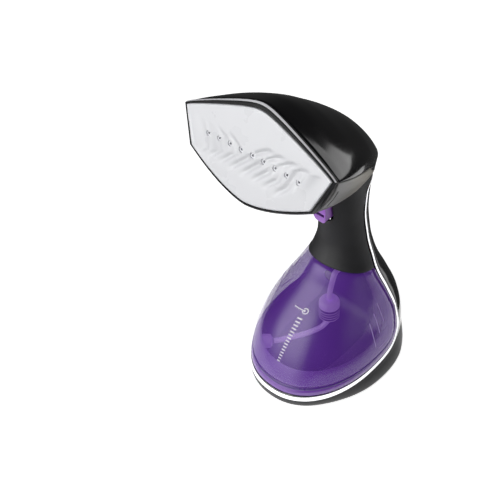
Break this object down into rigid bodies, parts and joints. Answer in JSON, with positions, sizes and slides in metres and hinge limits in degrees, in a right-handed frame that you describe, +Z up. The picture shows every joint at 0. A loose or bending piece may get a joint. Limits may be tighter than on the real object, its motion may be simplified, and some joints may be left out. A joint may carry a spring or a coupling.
{
  "type": "garment steamer",
  "caption": "Handheld upright garment steamer with a wide steam head on a slim neck, a removable clear tank at the front and a steam trigger under the head.",
  "frame": {"origin": "bottom centre of the bounding box, on the surface the steamer stands on", "axes": "+Z up, -Y is the way the steam leaves the soleplate, +X is to the side"},
  "size_m": [0.1268, 0.1544, 0.2791],
  "materials": {
    "glossy_black": "gloss",
    "matte_black": "matte",
    "base_grey": "satin",
    "gunmetal": "satin",
    "chrome": "polished",
    "ceramic_white": "smooth ceramic coating",
    "tank_purple": "clear tinted",
    "trigger_purple": "satin",
    "silicone": "translucent",
    "inner_black": "matte",
    "aluminium": "cast",
    "steel": "bright",
    "brass": "satin",
    "copper": "wound enamelled wire",
    "board_green": "satin",
    "rubber": "matte",
    "red_silicone": "matte",
    "mica": "matte"
  },
  "bodies": {
    "housing": {"suction_hose": "silicone", "delivery_hose": "silicone", "foot_pad_1": "rubber", "foot_pad_2": "rubber", "foot_pad_3": "rubber", "foot_pad_4": "rubber", "cord_gland": "rubber", "board_capacitor": "rubber", "tank_bay": "inner_black", "cord_clamp": "inner_black", "micro_switch": "inner_black", "pump_body": "inner_black", "dock_socket": "inner_black", "board_relay": "inner_black", "base_foot": "base_grey", "base_screw_1": "steel", "base_screw_2": "steel", "base_screw_3": "steel", "base_screw_4": "steel", "heating_element": "steel", "thermostat": "steel", "head_screw_1": "steel", "head_screw_2": "steel", "trigger_pin": "steel", "trigger_spring": "steel", "pump_bracket": "steel", "chrome_trim": "chrome", "rear_cover": "glossy_black", "head_top_shell": "glossy_black", "tail_band": "glossy_black", "head_frame": "glossy_black", "grip_shell": "matte_black", "head_lower_shell": "matte_black", "side_panel_right": "gunmetal", "side_panel_left": "gunmetal", "soleplate": "ceramic_white", "steam_chamber": "aluminium", "chamber_cover": "aluminium", "chamber_gasket": "red_silicone", "dock_seal": "red_silicone", "heater_leads": "red_silicone", "steam_inlet": "brass", "thermal_fuse": "brass", "heat_shield": "mica", "pump_coil": "copper", "control_board": "board_green"},
    "tank": {"tank_shell": "tank_purple", "tank_back": "tank_purple", "tank_spigot": "silicone", "tank_tube_upper": "silicone", "filter_cartridge": "silicone", "tank_tube_lower": "silicone", "strainer_weight": "silicone"},
    "filler_plug": {"filler_plug": "rubber"},
    "trigger": {"trigger": "trigger_purple"},
    "switch_lever": {"switch_lever": "steel"}
  },
  "joints": [
    {"name": "tank_slide", "type": "slide", "parent": "housing", "child": "tank", "axis": [0, -1, 0], "range_m": [0, 0.14]},
    {"name": "filler_plug_pull", "type": "slide", "parent": "tank", "child": "filler_plug", "axis": [0, 1, 0], "range_m": [0, 0.009]},
    {"name": "trigger_pull", "type": "hinge", "parent": "housing", "child": "trigger", "pos_m": [0, 0.014, 0.174], "axis": [1, 0, 0], "range_deg": [0, 7], "stiffness_Nm_per_rad": 0.4},
    {"name": "switch_lever_press", "type": "hinge", "parent": "housing", "child": "switch_lever", "pos_m": [0, 0.0135, 0.1465], "axis": [1, 0, 0], "range_deg": [-4, 0]}
  ],
  "couplings": [
    {"joint": "switch_lever_press", "follows": "trigger_pull", "ratio": -0.53}
  ]
}
